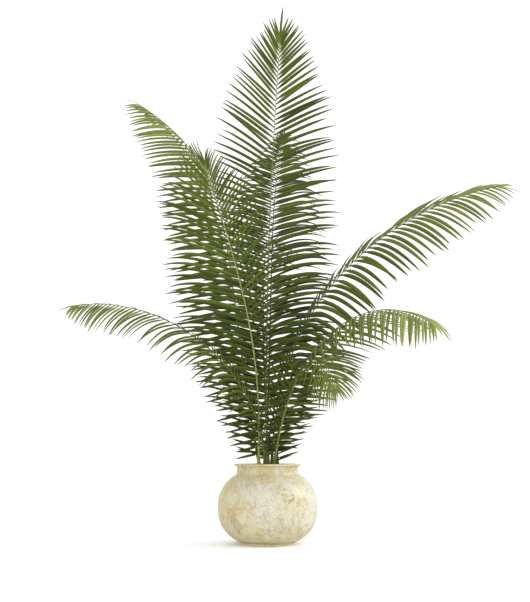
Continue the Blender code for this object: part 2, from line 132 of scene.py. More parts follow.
# Fronds, by the part's rule. Each has its midrib's control points, foot (on top of the
# stem), stalk (it leaves the foot towards this), shoulder (it arches over towards this)
# and tip, and
#   facing   compass direction that the upper side leans to, degrees from +X to +Y
#   roll     turn of the blade about the midrib, at foot and tip
#   spread   leaflet angle from the midrib, at tip and foot
#   rise     how far leaflets stand up out of the blade's plane, at foot and tip
#   droop    how far they bend, at foot and tip
#   sag      how much more the right row bends than the left one, as a share of it
#   hang     whether they bend down (1) or towards the blade's underside (0)
#   curl     low bends the whole leaflet, high only its end
#   leaf     leaflet length in the left and the right row
#   end      length of the one leaflet that ends the frond
#   bunching over 1, leaflets stand closer together towards the tip
#   pairs    leaflet pairs
#   width    width of the longest leaflets
#   tint     how pale the green is, at foot and tip, 0 to 1
#   rib      which of the midrib greens it has
#   nodes    the solids that it stands for
FRONDS = {
    "frond_1": {
        "foot": (-0.003, -0.004),
        "stalk": (-0.010, -0.120, 0.900),
        "shoulder": (0.020, 0.195, 1.365),
        "tip": (0.045, 0.070, 1.720),
        "facing": 71,
        "roll": (-17, -33),
        "spread": (12, 87),
        "rise": (16, 2),
        "droop": (0.85, 0.00),
        "sag": 0.00,
        "hang": 0.9,
        "curl": 2.0,
        "leaf": (0.225, 0.240),
        "end": 0.110,
        "bunching": 1.30,
        "pairs": 66,
        "width": 0.0138,
        "tint": (0.26, 0.46),
        "rib": 2,
        "nodes": ("frond_1",),
    },
    "frond_2": {
        "foot": (-0.010, 0.016),
        "stalk": (0.025, -0.010, 0.765),
        "shoulder": (-0.005, 0.280, 1.115),
        "tip": (0.065, 0.560, 1.530),
        "facing": 97,
        "roll": (7, 10),
        "spread": (7, 82),
        "rise": (29, -21),
        "droop": (1.00, 0.95),
        "sag": 0.15,
        "hang": 0.3,
        "curl": 1.9,
        "leaf": (0.245, 0.240),
        "end": 0.065,
        "bunching": 1.30,
        "pairs": 92,
        "width": 0.0110,
        "tint": (0.06, 0.36),
        "rib": 0,
        "nodes": ("frond_2_stalk", "frond_2_arch"),
    },
    "frond_3": {
        "foot": (-0.029, -0.026),
        "stalk": (-0.015, 0.000, 0.625),
        "shoulder": (-0.080, -0.195, 0.805),
        "tip": (-0.200, -0.155, 1.190),
        "facing": 258,
        "roll": (38, -54),
        "spread": (8, 77),
        "rise": (-3, -2),
        "droop": (0.40, 0.90),
        "sag": 0.30,
        "hang": 0.5,
        "curl": 2.2,
        "leaf": (0.180, 0.255),
        "end": 0.065,
        "bunching": 1.30,
        "pairs": 58,
        "width": 0.0115,
        "tint": (0.26, 0.50),
        "rib": 3,
        "nodes": ("frond_3",),
    },
    "frond_4": {
        "foot": (-0.024, 0.024),
        "stalk": (-0.160, -0.050, 0.910),
        "shoulder": (-0.085, 0.285, 1.295),
        "tip": (-0.460, 0.240, 1.535),
        "facing": 169,
        "roll": (78, 17),
        "spread": (25, 95),
        "rise": (-38, -21),
        "droop": (0.10, 0.65),
        "sag": 0.05,
        "hang": 0.4,
        "curl": 1.3,
        "leaf": (0.205, 0.185),
        "end": 0.090,
        "bunching": 1.20,
        "pairs": 75,
        "width": 0.0145,
        "tint": (0.25, 0.92),
        "rib": 1,
        "nodes": ("frond_4",),
    },
    "frond_5": {
        "foot": (-0.009, -0.039),
        "stalk": (-0.005, -0.170, 0.540),
        "shoulder": (-0.320, -0.125, 0.785),
        "tip": (-0.640, 0.015, 0.760),
        "facing": 211,
        "roll": (42, 47),
        "spread": (19, 63),
        "rise": (14, -35),
        "droop": (1.80, 0.50),
        "sag": -0.80,
        "hang": 0.4,
        "curl": 1.6,
        "leaf": (0.140, 0.125),
        "end": 0.075,
        "bunching": 1.30,
        "pairs": 53,
        "width": 0.0105,
        "tint": (0.40, 0.80),
        "rib": 1,
        "nodes": ("frond_5_stalk", "frond_5_arch"),
    },
    "frond_6": {
        "foot": (0.013, 0.010),
        "stalk": (0.020, -0.005, 0.940),
        "shoulder": (0.590, -0.170, 1.090),
        "tip": (0.730, -0.155, 1.115),
        "facing": -48,
        "roll": (-79, -53),
        "spread": (6, 63),
        "rise": (-5, 7),
        "droop": (1.60, 0.70),
        "sag": 0.45,
        "hang": 0.6,
        "curl": 0.7,
        "leaf": (0.185, 0.190),
        "end": 0.085,
        "bunching": 1.05,
        "pairs": 57,
        "width": 0.0155,
        "tint": (0.20, 0.85),
        "rib": 1,
        "nodes": ("frond_6_stalk", "frond_6_arch"),
    },
    "frond_7": {
        "foot": (0.033, -0.002),
        "stalk": (0.000, -0.060, 0.520),
        "shoulder": (0.265, -0.240, 0.825),
        "tip": (0.430, -0.600, 0.615),
        "facing": 299,
        "roll": (-12, -14),
        "spread": (9, 77),
        "rise": (-36, -7),
        "droop": (0.35, 1.55),
        "sag": 0.15,
        "hang": 0.3,
        "curl": 1.4,
        "leaf": (0.180, 0.170),
        "end": 0.060,
        "bunching": 1.20,
        "pairs": 49,
        "width": 0.0115,
        "tint": (0.34, 0.90),
        "rib": 1,
        "nodes": ("frond_7_stalk", "frond_7_arch"),
    },
    "frond_8": {
        "foot": (0.018, -0.036),
        "stalk": (0.045, -0.125, 0.460),
        "shoulder": (0.150, -0.140, 0.700),
        "tip": (0.180, -0.535, 0.450),
        "facing": 242,
        "roll": (-32, -12),
        "spread": (6, 59),
        "rise": (-3, 3),
        "droop": (0.20, 1.20),
        "sag": -0.05,
        "hang": 0.3,
        "curl": 1.3,
        "leaf": (0.150, 0.155),
        "end": 0.045,
        "bunching": 1.20,
        "pairs": 39,
        "width": 0.0080,
        "tint": (0.20, 0.75),
        "rib": 2,
        "nodes": ("frond_8_stalk", "frond_8_arch"),
    },
    "frond_9": {
        "foot": (0.004, 0.032),
        "stalk": (-0.025, 0.080, 0.680),
        "shoulder": (-0.020, 0.235, 1.100),
        "tip": (0.020, 0.630, 1.115),
        "facing": 73,
        "roll": (-4, 16),
        "spread": (15, 82),
        "rise": (11, -16),
        "droop": (0.45, 1.15),
        "sag": 0.45,
        "hang": 0.2,
        "curl": 1.1,
        "leaf": (0.130, 0.160),
        "end": 0.060,
        "bunching": 1.15,
        "pairs": 45,
        "width": 0.0110,
        "tint": (0.38, 0.50),
        "rib": 1,
        "nodes": ("frond_9_stalk", "frond_9_arch"),
    },
}

MIDRIB_STEPS = 96               # points that a midrib's length is measured on
MIDRIB_FOOT_RADIUS = 0.0055
RIB_FOOT_RADIUS = 0.0042        # the fine midrib's
RIB_TIP_RADIUS = 0.0009
RIB_SLIMMING = 0.6              # how soon above the foot it gets thin, 1 is evenly
MIDRIB_RINGS = 90
MIDRIB_SIDES = 10
MIDRIB_UPPER = 0.62             # height of its upper half, of its radius
GROOVE_DEPTH = 0.45             # of the groove in that, of the height
GROOVE_POWER = 6                # how narrow the groove is
DIRECTION_REACH = 0.004         # a direction is taken over this share to either side
GAP = 0.0003                    # clearance between a midrib's foot and the stem

BARE_SHARE = 0.03               # stretch above the foot with no leaflets
SPREAD_POWER = 0.36             # how late towards the tip the leaflets close up
FOOT_LEAF = 0.33                # length of the lowest leaflets, of the longest
TIP_LEAF = 0.36                 # and of the last ones
END_DROOP = 0.7                 # how far the leaflet that ends a frond bends down
FULL_SHARE = 0.40               # share of the frond where they reach full length
FADE_SHARE = 0.60               # and where they start to shorten again
FADE_POWER = 3                  # how slowly that starts, 1 is evenly
END_SHARE = 0.998               # where the leaflet that ends a frond stands
ROW_SHIFT = 0.25                # how far each row is moved along, of the spacing
PLACE_LUCK = 0.05               # chance in a leaflet's place, of the spacing
SPREAD_LUCK = 1.5               # in its spread, in degrees
RISE_LUCK = 3                   # in its rise, in degrees
DROOP_LUCK = 0.12               # in its droop, as a share
LENGTH_LUCK = 0.04              # and in its length, as a share
LEAF_STEPS = 12
NARROWEST = 0.4                 # width share that even the shortest leaflets keep
LEAF_NECK = 0.34                # its width at the midrib, of its full width
LEAF_FULL = 0.18                # share of its length where it reaches full width
POINT_START = 3.2               # how late it narrows to its point
POINT_POWER = 0.8               # and how suddenly, less is more
LEAF_UV = 1.2                   # length of its UV map
LEAF_FOLD = math.radians(17)    # how far each half folds down from the keel
LEAF_TWIST = math.radians(14)   # usual turn of a leaflet over its length
TINT_POWER = 1.6                # how late towards the tip its green gets paler
TINT_LUCK = 0.07                # chance in how pale it is

# Materials. A pattern is a noise (scale, detail, roughness), with the two values of it that
# the pattern fades in between, and a higher scale is finer. A bump is its strength and its
# depth. A roughness is how much it varies and its least, or one number where it is even.

# Greens from dark to pale, of the leaflets and of the midribs
GREENS = (
    (0.022, 0.031, 0.003),
    (0.034, 0.047, 0.004),
    (0.050, 0.068, 0.006),
    (0.070, 0.092, 0.010),
    (0.100, 0.126, 0.018),
    (0.145, 0.172, 0.034),
    (0.215, 0.240, 0.070),
)
LEAF_CONTRAST = 1.50            # how much paler a leaflet's painted lit half is, and its painted shaded half darker; the veins fade across the same range
LEAF_LIGHT_TURN = (0.40, 0.62)        # where across the leaflet the painted shade of one half turns to the painted light of the other
LEAF_PAINTED_LIGHT_SHARE = 0.7           # how much of the contrast is painted light and shade between the halves
LEAF_VEIN_SHARE = 0.3           # and how much is in the veins
LEAF_VEINS = ((1.0, 3.0, 0.6), (0.3, 0.75))
LEAF_STRETCH = (26.0, 2.5)      # how fine its veins are, across and along
LEAF_PATCHES = (9.0, 2.0)
LEAF_PATCH_SHARE = 0.4          # how much a patch evens out the contrast
LEAF_BUMP = (0.25, 0.0004)
LEAF_ROUGHNESS = (0.2, 0.42)
LEAF_SHINE = 0.15
RIBS = (
    (0.030, 0.042, 0.006),
    (0.060, 0.080, 0.012),
    (0.110, 0.140, 0.030),
    (0.190, 0.225, 0.060),
)
RIB_STREAK = 1.5                # how much paler the streaks on a midrib are
RIB_STREAKS = ((1.0, 4.0, 0.6), (0.35, 0.70))
RIB_STRETCH = (9.0, 14.0)
RIB_SPOTS = ((300.0, 2.0), (0.60, 0.70))
RIB_SPECKLE = 0.25              # how strong the brown spots are
SPECKLE = (0.13, 0.08, 0.03)
RIB_BUMP = (0.3, 0.0006)
RIB_ROUGHNESS = (0.2, 0.40)
RIB_SHINE = 0.25

# Soil, husks and floor
EARTH = ((0.022, 0.014, 0.008), (0.085, 0.055, 0.032))
EARTH_LUMPS = (90.0, 6.0, 0.7)
EARTH_DRY = (0.35, 0.70)
FIBRE = (0.22, 0.16, 0.09)
FIBRES = ((260.0, 2.0), (0.66, 0.72))
EARTH_BUMP = (0.9, 0.003)
EARTH_ROUGHNESS = (0.15, 0.82)
HUSK = ((0.20, 0.13, 0.06), (0.46, 0.36, 0.20))
HUSK_FIBRES = ((1.0, 4.0, 0.7), (0.3, 0.7))
HUSK_STRETCH = (12.0, 20.0)
HUSK_BUMP = (0.7, 0.001)
HUSK_ROUGHNESS = 0.8
GROUND = ((0.96, 0.96, 0.96), (0.98, 0.98, 0.98))
GROUND_TONE = (3.0, 3.0)
GROUND_ROUGHNESS = 0.9
GROUND_SHINE = 0.1

# Marble's colours
CREAM = (0.515, 0.475, 0.345)
PALE_CREAM = (0.505, 0.498, 0.415)
KHAKI = (0.445, 0.380, 0.185)
OCHRE = (0.42, 0.310, 0.110)
ROSE = (0.56, 0.480, 0.385)
VEIN = (0.25, 0.205, 0.110)
# painted light on the foot, lifting its shade, in the foot's own yellowish cream
FOOT_LIT_CREAM = (0.68, 0.590, 0.330)

# How strongly each is laid on
SHADE_AND_STAIN_SHARE = 0.75              # how far a stain, and the painted shade on the left side, turns khaki
KHAKI_SHARE = 0.75
KHAKI_ON_PALE = 0.35            # how much less of it there is on the pale patches
OCHRE_SHARE = 0.75
# strength of the painted light on the foot
FOOT_LIGHT_SHARE = 0.8
# strength of the painted shadow where the belly stands on the foot
JOINT_SHADOW_SHARE = 0.6
ROSE_SHARE = 0.5
SPECK_SHARE = 0.45
VEIN_SHARE = 0.80
FINE_SHARE = 0.75               # a fine vein's strength, of a broad one's
CRACK_SHARE = 0.65              # and a crack's

# Marble's patterns
SWIRL = (9.0, 0.06)             # scale and reach of the bends in the veins
WRINKLE = (38.0, 0.016)         # and of the wrinkles in them
VEIN_LEVEL = 0.50               # a vein runs where its noise passes this value
BROAD_VEINS = (15.0, 3.0, 0.5)
BROAD_WIDTH = 0.016
BROAD_AREAS = ((16.0,), (0.40, 0.56))
FINE_VEINS = (34.0, 3.0, 0.5)
FINE_WIDTH = 0.022
FINE_AREAS = ((21.0,), (0.42, 0.58))
CRACK_SCALE = 42.0
CRACK_WIDTH = 0.10
CRACK_AREAS = ((24.0,), (0.46, 0.60))
KHAKI_AREAS = ((19.0, 5.0, 0.65), (0.50, 0.62))
OCHRE_AREAS = ((26.0, 5.0, 0.65), (0.44, 0.62))
PALE_SWIRL = (14.0, 0.04)
PALE_AREAS = ((11.0, 2.0, 0.5), (0.50, 0.56))
ROSE_AREAS = ((26.0, 3.0), (0.58, 0.68))
SPECKS = ((120.0, 4.0, 0.7), (0.48, 0.66))
GRAIN = (210.0, 4.0, 0.6)
GRAIN_HEIGHT = 0.25             # of the depth of a vein
MARBLE_BUMP = (0.35, 0.0006)
GLOSS = (35.0, 3.0)
MARBLE_ROUGHNESS = (0.25, 0.36)
POLISH = 0.10                   # a thin coat of wax
POLISH_ROUGHNESS = 0.35

# Where the marble is stained, and where shade and light are painted on it, by height, and by how far
# to the right of the axis
UNDER_RIM = (0.192, 0.236)
NEAR_FOOT = (0.030, 0.085)
# painted shade, growing towards the left, on the side away from the key light
LEFT_SHADE = (-0.140, 0.005)
RIGHT_SIDE = (-0.030, 0.030)
# painted light on the foot, fading out upwards
FOOT_LIGHT_HEIGHTS = (0.008, 0.026)
JOINT_SHADOW_START = (0.004, 0.008)    # painted shadow: an ochre ring where the belly stands on the foot
JOINT_SHADOW_END = (0.010, 0.016)


def mix(start, end, share):
    return start + (end - start) * share


def smooth(share):
    share = min(1, max(0, share))
    return share * share * (3 - 2 * share)


# --- Materials --------------------------------------------------------------------


class Nodes:
    """A material's node tree, with short names for adding and linking nodes."""

    def __init__(self, name):
        self.material = bpy.data.materials.new(name)
        self.material.use_nodes = True
        self.tree = self.material.node_tree
        self.shader = self.tree.nodes["Principled BSDF"]

    def add(self, kind, inputs=(), **settings):
        """Adds a node. Inputs is a list of (socket, value or other node's output)."""
        node = self.tree.nodes.new(kind)
        for name, value in settings.items():
            setattr(node, name, value)
        for socket, value in inputs:
            self.set(node.inputs[socket], value)
        return node

    def set(self, socket, value):
        if isinstance(value, bpy.types.NodeSocket):
            self.tree.links.new(value, socket)
        else:
            socket.default_value = value

    def math(self, operation, first, second=0.0, third=0.0):
        inputs = [(0, first), (1, second), (2, third)]
        return self.add("ShaderNodeMath", inputs, operation=operation).outputs[0]

    def blend(self, factor, first, second):
        """Two colours mixed by a factor."""
        colors = [c if isinstance(c, bpy.types.NodeSocket) else (*c, 1) for c in (first, second)]
        inputs = [(0, factor), (6, colors[0]), (7, colors[1])]
        return self.add("ShaderNodeMix", inputs, data_type="RGBA").outputs[2]

    def band(self, value, low, high):
        """0 under low, 1 over high, smooth between."""
        inputs = [(0, value), (1, low), (2, high), (3, 0.0), (4, 1.0)]
        node = self.add("ShaderNodeMapRange", inputs, interpolation_type="SMOOTHSTEP")
        return node.outputs[0]

    def noise(self, place, scale, detail=2.0, roughness=0.5):
        inputs = [("Vector", place), ("Scale", scale), ("Detail", detail), ("Roughness", roughness)]
        return self.add("ShaderNodeTexNoise", inputs).outputs[0]

    def areas(self, place, noise, limits):
        """Soft-edged areas where a noise is high."""
        return self.band(self.noise(place, *noise), *limits)

    def rest(self, value):
        return self.math("SUBTRACT", 1.0, value)

    def place(self):
        return self.add("ShaderNodeTexCoord").outputs["Object"]

    def warped(self, place, scale, reach):
        """A place that is moved about by a noise, up to a reach."""
        noise = self.add("ShaderNodeTexNoise", [("Vector", place), ("Scale", scale), ("Detail", 2.0)])
        inputs = [(0, noise.outputs["Color"]), (1, (reach, reach, reach)), (2, place)]
        return self.add("ShaderNodeVectorMath", inputs, operation="MULTIPLY_ADD").outputs[0]

    def contour(self, value, level, width):
        """1 where a value passes through a level, fading to 0 within a width."""
        off = self.math("ABSOLUTE", self.math("SUBTRACT", value, level))
        return self.rest(self.band(off, 0.0, width))

    def creases(self, place, scale, width):
        """1 on the borders of irregular cells, fading to 0 within a width."""
        inputs = [("Vector", place), ("Scale", scale)]
        cells = self.add("ShaderNodeTexVoronoi", inputs, feature="DISTANCE_TO_EDGE")
        return self.rest(self.band(cells.outputs["Distance"], 0.0, width))

    def stretched(self, across, along):
        """The UV place, scaled across and along a leaf or a stalk."""
        place = self.add("ShaderNodeTexCoord").outputs["UV"]
        inputs = [(0, place), (1, (across, along, 1.0))]
        return self.add("ShaderNodeVectorMath", inputs, operation="MULTIPLY").outputs[0]

    def bump(self, height, strength, distance):
        inputs = [("Height", height), ("Strength", strength), ("Distance", distance)]
        self.set(self.shader.inputs["Normal"], self.add("ShaderNodeBump", inputs).outputs[0])

    def finish(self, color, roughness, **sockets):
        self.set(self.shader.inputs["Base Color"], color)
        self.set(self.shader.inputs["Roughness"], roughness)
        for name, value in sockets.items():
            self.shader.inputs[name.replace("_", " ")].default_value = value
        return self.material


def marble_veins(n, place, bent):
    """Broad and fine curved veins, and a net of cracks, each in areas of its own."""
    broad = n.contour(n.noise(bent, *BROAD_VEINS), VEIN_LEVEL, BROAD_WIDTH)
    broad = n.math("MULTIPLY", broad, n.areas(place, *BROAD_AREAS))
    fine = n.contour(n.noise(bent, *FINE_VEINS), VEIN_LEVEL, FINE_WIDTH)
    fine = n.math("MULTIPLY", fine, n.areas(place, *FINE_AREAS))
    cracks = n.creases(bent, CRACK_SCALE, CRACK_WIDTH)
    cracks = n.math("MULTIPLY", cracks, n.areas(bent, *CRACK_AREAS))
    veins = n.math("MAXIMUM", broad, n.math("MULTIPLY", fine, FINE_SHARE))
    return n.math("MAXIMUM", veins, n.math("MULTIPLY", cracks, CRACK_SHARE))


def marble_shade_and_stains(n, aside, height):
    """1 under the rim, where it is stained, low on the right, and on the left side, where shade is
    painted, and fading out round them.
    """
    low_right = n.math("MULTIPLY", n.band(aside, *RIGHT_SIDE), n.rest(n.band(height, *NEAR_FOOT)))
    low_right = n.math("MAXIMUM", n.band(height, *UNDER_RIM), low_right)
    # painted shade on the left side
    return n.math("MAXIMUM", low_right, n.rest(n.band(aside, *LEFT_SHADE)))


def marble_material():
    """Cream marble: pale and khaki patches, ochre stains and many fine curved veins, with khaki and
    ochre painted shade on its left side, painted light on the foot and a painted ochre shadow where
    the belly stands on the foot.
    """
    n = Nodes("marble")
    place = n.place()
    bent = n.warped(n.warped(place, *SWIRL), *WRINKLE)
    veins = marble_veins(n, place, bent)
    axes = n.add("ShaderNodeSeparateXYZ", [(0, place)])
    height = axes.outputs[2]
    # stained under the rim, khaki low on the right, and painted shade on the left side
    shade_and_stain = marble_shade_and_stains(n, axes.outputs[0], height)

    pale = n.areas(n.warped(place, *PALE_SWIRL), *PALE_AREAS)
    color = n.blend(pale, CREAM, PALE_CREAM)
    # khaki patches, and khaki on the stains and in the painted shade on the left
    khaki = n.math("MAXIMUM", n.areas(bent, *KHAKI_AREAS), n.math("MULTIPLY", shade_and_stain, SHADE_AND_STAIN_SHARE))
    khaki = n.math("MULTIPLY", khaki, n.math("MULTIPLY_ADD", pale, -KHAKI_ON_PALE, KHAKI_SHARE))
    color = n.blend(khaki, color, KHAKI)
    # ochre on the stains and in the painted shade on the left
    ochre = n.math("MULTIPLY", n.areas(bent, *OCHRE_AREAS), shade_and_stain)
    color = n.blend(n.math("MULTIPLY", ochre, OCHRE_SHARE), color, OCHRE)
    # painted light on the foot, lifting its shade, in a paler yellowish cream
    foot_light = n.rest(n.band(height, *FOOT_LIGHT_HEIGHTS))
    color = n.blend(n.math("MULTIPLY", foot_light, FOOT_LIGHT_SHARE), color, FOOT_LIT_CREAM)
    # painted shadow: an ochre ring where the belly stands on the foot
    joint_shadow = n.math("SUBTRACT", n.band(height, *JOINT_SHADOW_START), n.band(height, *JOINT_SHADOW_END))
    color = n.blend(n.math("MULTIPLY", joint_shadow, JOINT_SHADOW_SHARE), color, OCHRE)
    rosy = n.areas(place, *ROSE_AREAS)
    color = n.blend(n.math("MULTIPLY", rosy, ROSE_SHARE), color, ROSE)
    speck = n.math("MULTIPLY", n.areas(place, *SPECKS), SPECK_SHARE)
    color = n.blend(speck, color, KHAKI)
    color = n.blend(n.math("MULTIPLY", veins, VEIN_SHARE), color, VEIN)

    grain = n.math("MULTIPLY", n.noise(place, *GRAIN), GRAIN_HEIGHT)
    n.bump(n.math("SUBTRACT", grain, veins), *MARBLE_BUMP)
    roughness = n.math("MULTIPLY_ADD", n.noise(place, *GLOSS), *MARBLE_ROUGHNESS)
    return n.finish(color, roughness, Coat_Weight=POLISH, Coat_Roughness=POLISH_ROUGHNESS)


def leaf_material(name, green):
    """Satin leaf, by the leaflet's own UV: painted shade on its lower half and painted light on its
    upper half, with fine veins along it.
    """
    n = Nodes(name)
    axes = n.add("ShaderNodeSeparateXYZ", [(0, n.stretched(1.0, 1.0))])
    painted_lit_half = n.band(axes.outputs[0], *LEAF_LIGHT_TURN)
    noise, limits = LEAF_VEINS
    veins = n.noise(n.stretched(*LEAF_STRETCH), *noise)
    patches = n.noise(n.place(), *LEAF_PATCHES)
    # lit and shaded copies of the green, for the painted light and painted shade; the veins also fade
    # between them
    paler = tuple(channel * LEAF_CONTRAST for channel in green)
    darker = tuple(channel / LEAF_CONTRAST for channel in green)
    # painted light on the upper half, painted shade on the lower
    halves = n.math("MULTIPLY", painted_lit_half, LEAF_PAINTED_LIGHT_SHARE)
    share = n.math("MULTIPLY_ADD", n.band(veins, *limits), LEAF_VEIN_SHARE, halves)
    color = n.blend(share, darker, paler)
    color = n.blend(n.math("MULTIPLY", patches, LEAF_PATCH_SHARE), color, green)
    n.bump(veins, *LEAF_BUMP)
    roughness = n.math("MULTIPLY_ADD", patches, *LEAF_ROUGHNESS)
    return n.finish(color, roughness, Specular_IOR_Level=LEAF_SHINE)


def stalk_material(name, green):
    """Smooth stalk with pale streaks along it and a little brown speckling."""
    n = Nodes(name)
    noise, limits = RIB_STREAKS
    streaks = n.noise(n.stretched(*RIB_STRETCH), *noise)
    pale = tuple(channel * RIB_STREAK for channel in green)
    color = n.blend(n.band(streaks, *limits), green, pale)
    spots = n.math("MULTIPLY", n.areas(n.place(), *RIB_SPOTS), RIB_SPECKLE)
    color = n.blend(spots, color, SPECKLE)
    n.bump(streaks, *RIB_BUMP)
    roughness = n.math("MULTIPLY_ADD", streaks, *RIB_ROUGHNESS)
    return n.finish(color, roughness, Specular_IOR_Level=RIB_SHINE)


def soil_material():
    """Dark lumpy earth, dry and paler in places, with scattered fibres."""
    n = Nodes("soil")
    place = n.place()
    lumps = n.noise(place, *EARTH_LUMPS)
    color = n.blend(n.band(lumps, *EARTH_DRY), *EARTH)
    color = n.blend(n.areas(place, *FIBRES), color, FIBRE)
    n.bump(lumps, *EARTH_BUMP)
    return n.finish(color, n.math("MULTIPLY_ADD", lumps, *EARTH_ROUGHNESS))


def husk_material():
    """Dry brown sheath with fibres along it."""
    n = Nodes("husk")
    noise, limits = HUSK_FIBRES
    fibres = n.noise(n.stretched(*HUSK_STRETCH), *noise)
    color = n.blend(n.band(fibres, *limits), *HUSK)
    n.bump(fibres, *HUSK_BUMP)
    return n.finish(color, HUSK_ROUGHNESS)


def floor_material():
    """Very pale matt ground."""
    n = Nodes("floor")
    color = n.blend(n.noise(n.place(), *GROUND_TONE), *GROUND)
    return n.finish(color, GROUND_ROUGHNESS, Specular_IOR_Level=GROUND_SHINE)


# --- Joined meshes ----------------------------------------------------------------


class Pieces:
    """Points, faces, UVs and material numbers of a piece that is made of many small ones."""

    def __init__(self):
        self.points = []
        self.faces = []
        self.uvs = []
        self.slots = []

    def sheet(self, rows, slot=0, closed=False):
        """A grid of faces over rows of (point, uv). Closed joins each row's end to its start."""
        first = len(self.points)
        width = len(rows[0])
        spans = width if closed else width - 1
        for row in rows:
            self.points.extend(point for point, uv in row)
        for level in range(len(rows) - 1):
            for spot in range(spans):
                corners = [(level, spot), (level, (spot + 1) % width)]
                corners += [(level + 1, (spot + 1) % width), (level + 1, spot)]
                self.faces.append([first + row * width + column for row, column in corners])
                self.uvs.extend(rows[row][column][1] for row, column in corners)
                self.slots.append(slot)

    def fan(self, centre, ring, slot=0):
        """Closes a ring of points with triangles to its centre."""
        first = len(self.points)
        self.points.append(centre)
        self.points.extend(ring)
        for spot in range(len(ring)):
            self.faces.append([first, first + 1 + spot, first + 1 + (spot + 1) % len(ring)])
            self.uvs.extend([(0.5, 0.5), (0.0, 0.0), (1.0, 0.0)])
            self.slots.append(slot)

    def make(self, name, materials, smooth_faces=True):
        mesh = bpy.data.meshes.new(name)
        mesh.from_pydata([tuple(point) for point in self.points], [], self.faces)
        layer = mesh.uv_layers.new(name="UVMap")
        layer.data.foreach_set("uv", [value for uv in self.uvs for value in uv])
        mesh.polygons.foreach_set("material_index", self.slots)
        if smooth_faces:
            mesh.shade_smooth()
        for material in materials:
            mesh.materials.append(material)
        item = bpy.data.objects.new(name, mesh)
        bpy.context.scene.collection.objects.link(item)
        return item


def place_piece(item, slot, *nodes):
    """Puts a finished piece on the part's one body, in place of some of its solids."""
    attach(item, "root")
    if nodes:
        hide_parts(*nodes)


# --- Pot ----------------------------------------------------------------------------


def belly_radius(height, inset=0.0):
    """Radius at a height of the pot's oval belly, or of an oval inset from it."""
    half = (BELLY_DROP if height < BELLY_HEIGHT else BELLY_RISE) - inset
    share = min(1.0, abs(height - BELLY_HEIGHT) / half)
    return (BELLY_RADIUS - inset) * (1 - share ** BELLY_POWER) ** (1 / BELLY_POWER)


def belly_wall(low, high, rings, inset=0.0):
    heights = [mix(low, high, ring / rings) for ring in range(rings + 1)]
    return [(belly_radius(height, inset), height) for height in heights]


def arc(centre, radius, start, end, steps):
    """Points on an arc of the profile, angles in degrees from outwards to up."""
    points = []
    for step in range(steps + 1):
        angle = math.radians(mix(start, end, step / steps))
        points.append((centre[0] + radius * math.cos(angle), centre[1] + radius * math.sin(angle)))
    return points


def pot_profile():
    """From the floor inside, up over the rim and down the outside to the underside."""
    turn = RIM_ROUNDING
    band = RIM_HEIGHT - RIM_BAND
    inside = [(0, FLOOR)] + belly_wall(FLOOR, SOIL_HEIGHT, MOUTH_RINGS, WALL)
    mouth = [(MOUTH_RADIUS, NECK_HEIGHT - WALL)]
    mouth += arc((MOUTH_RADIUS + turn, RIM_HEIGHT - turn), turn, 180, 90, ARC_STEPS)
    rim = arc((RIM_RADIUS - turn, RIM_HEIGHT - turn), turn, 90, 0, ARC_STEPS)
    rim += arc((RIM_RADIUS - turn, band + turn), turn, 0, -90, ARC_STEPS)
    under = RIM_UNDERCUT
    rim += arc((NECK_RADIUS + under, band - under), under, 90, 180, ARC_STEPS)
    hollow = (NECK_RADIUS + NECK_HOLLOW, NECK_HEIGHT)
    neck = arc(hollow, NECK_HOLLOW, 180, 180 + NECK_TURN, NECK_STEPS)
    outside = belly_wall(FOOT_HEIGHT, SHOULDER_HEIGHT, BELLY_RINGS)[::-1]
    foot = arc((FOOT_RADIUS - FOOT_ROUNDING, FOOT_ROUNDING), FOOT_ROUNDING, 0, -90, ARC_STEPS)
    foot.insert(0, (FOOT_RADIUS, FOOT_HEIGHT - FOOT_ROUNDING / 2))
    return inside + mouth + rim + neck + outside + foot + [(0, 0)]


def build_pot():
    pieces = Pieces()
    rows = []
    for radius, height in pot_profile():
        row = []
        for side in range(POT_SIDES):
            angle = -2 * math.pi * side / POT_SIDES
            point = Vector((radius * math.cos(angle), radius * math.sin(angle), height))
            row.append((point, (side / POT_SIDES, height)))
        rows.append(row)
    pieces.sheet(rows, closed=True)
    pot = pieces.make("marble_pot", [marble_material()])
    weld = pot.modifiers.new("weld", "WELD")
    weld.merge_threshold = POT_MERGE
    place_piece(pot, "pot", "pot")


# --- Soil and sheaths ---------------------------------------------------------------


def crumb(pieces, centre, size, chance):
    """A small lump: a ring of corners pulled about, closed to a point above and below."""
    ring = []
    for corner in range(CRUMB_CORNERS):
        angle = 2 * math.pi * (corner + chance.random() * CRUMB_TURN) / CRUMB_CORNERS
        reach = size * chance.uniform(*CRUMB_REACH)
        ring.append(centre + Vector((reach * math.cos(angle), reach * math.sin(angle), 0)))
    pieces.fan(centre + UP * size * chance.uniform(*CRUMB_RISE), ring)
    pieces.fan(centre - UP * size * CRUMB_DEPTH, ring[::-1])


def build_soil(material):
    chance = random.Random("soil")
    pieces = Pieces()
    for count in range(CRUMBS):
        angle = chance.uniform(0, 2 * math.pi)
        radius = CRUMB_AREA * math.sqrt(chance.random())
        fall = smooth((radius - SOIL_CROWN_EDGE) / SOIL_CROWN_EDGE)
        height = SOIL_HEIGHT + SOIL_CROWN * (1 - fall)
        centre = Vector((radius * math.cos(angle), radius * math.sin(angle), height))
        crumb(pieces, centre, chance.uniform(*CRUMB_SIZE), chance)
    place_piece(pieces.make("soil_crumbs", [material], smooth_faces=False), "soil")


